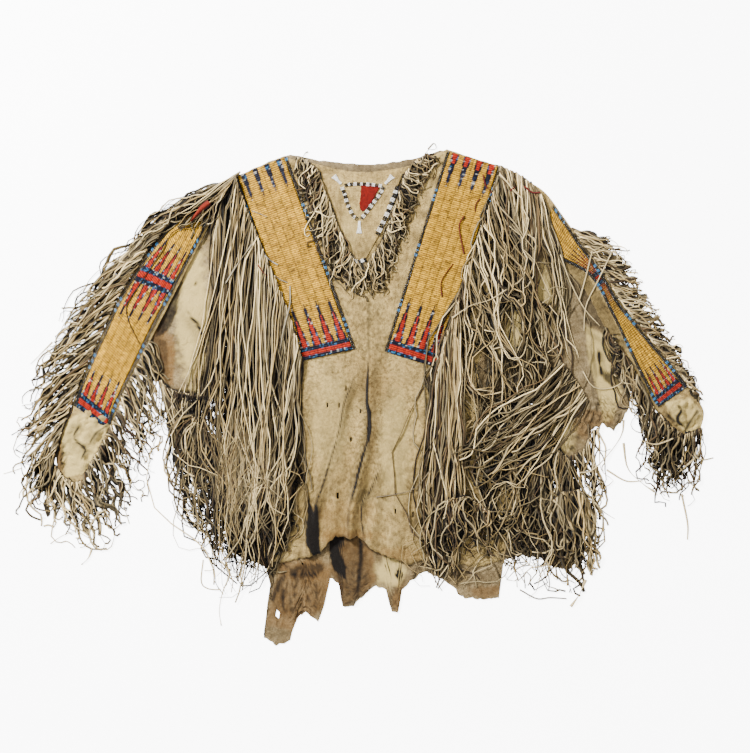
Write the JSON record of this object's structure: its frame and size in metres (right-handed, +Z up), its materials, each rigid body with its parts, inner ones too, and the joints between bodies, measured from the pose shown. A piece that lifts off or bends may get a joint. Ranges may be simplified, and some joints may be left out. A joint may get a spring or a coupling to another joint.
{
  "type": "buckskin war shirt",
  "caption": "Fringed buckskin war shirt laid flat and face up, with quilled shoulder and sleeve strips, bead lanes and a neck bib.",
  "frame": {"origin": "middle of the bounding box, on the surface that the shirt lies on", "axes": "+X to the wearer's left along the spread sleeves, +Y towards the neck, +Z up from the surface"},
  "size_m": [1.2519, 0.8969, 0.0174],
  "materials": {
    "buckskin": "matte, suede nap, smoke-tanned and soiled",
    "old_buckskin": "matte, suede nap, worn and stained",
    "thong": "matte, twisted and cut fringe",
    "quillwork": "satin, flattened and sewn quills",
    "bead_lane": "gloss, small glass beads",
    "white_beads": "gloss, small glass beads",
    "trade_cloth": "matte wool"
  },
  "bodies": {
    "root": {"front_hide": "buckskin", "sleeve_right": "buckskin", "sleeve_left": "buckskin", "neck_bib": "buckskin", "back_hide": "old_buckskin", "underarm_flap_right": "old_buckskin", "underarm_flap_left": "old_buckskin", "bib_inset": "trade_cloth", "bib_lane_right": "white_beads", "bib_lane_left": "white_beads", "bib_lane_top": "white_beads", "bib_lane_edge": "white_beads", "bib_tab_right": "white_beads", "bib_tab_left": "white_beads", "bib_tab_bottom": "white_beads", "shoulder_strip_right": "quillwork", "shoulder_strip_left": "quillwork", "sleeve_strip_right": "quillwork", "sleeve_strip_left": "quillwork", "shoulder_strip_right_lane_outer": "bead_lane", "shoulder_strip_right_lane_inner": "bead_lane", "shoulder_strip_left_lane_outer": "bead_lane", "shoulder_strip_left_lane_inner": "bead_lane", "sleeve_strip_right_lane_outer": "bead_lane", "sleeve_strip_right_lane_inner": "bead_lane", "sleeve_strip_left_lane_inner": "bead_lane", "fringe_shoulder_right": "thong", "fringe_shoulder_left": "thong", "fringe_arm_right": "thong", "fringe_arm_left": "thong", "fringe_outer_right": "thong", "fringe_outer_left": "thong", "fringe_inner_right": "thong", "fringe_inner_left": "thong", "fringe_cuff_right": "thong", "fringe_cuff_left": "thong", "fringe_side_right": "thong", "fringe_side_left": "thong", "fringe_bib": "thong", "neck_tie_right": "thong", "neck_tie_left": "thong"}
  },
  "joints": []
}
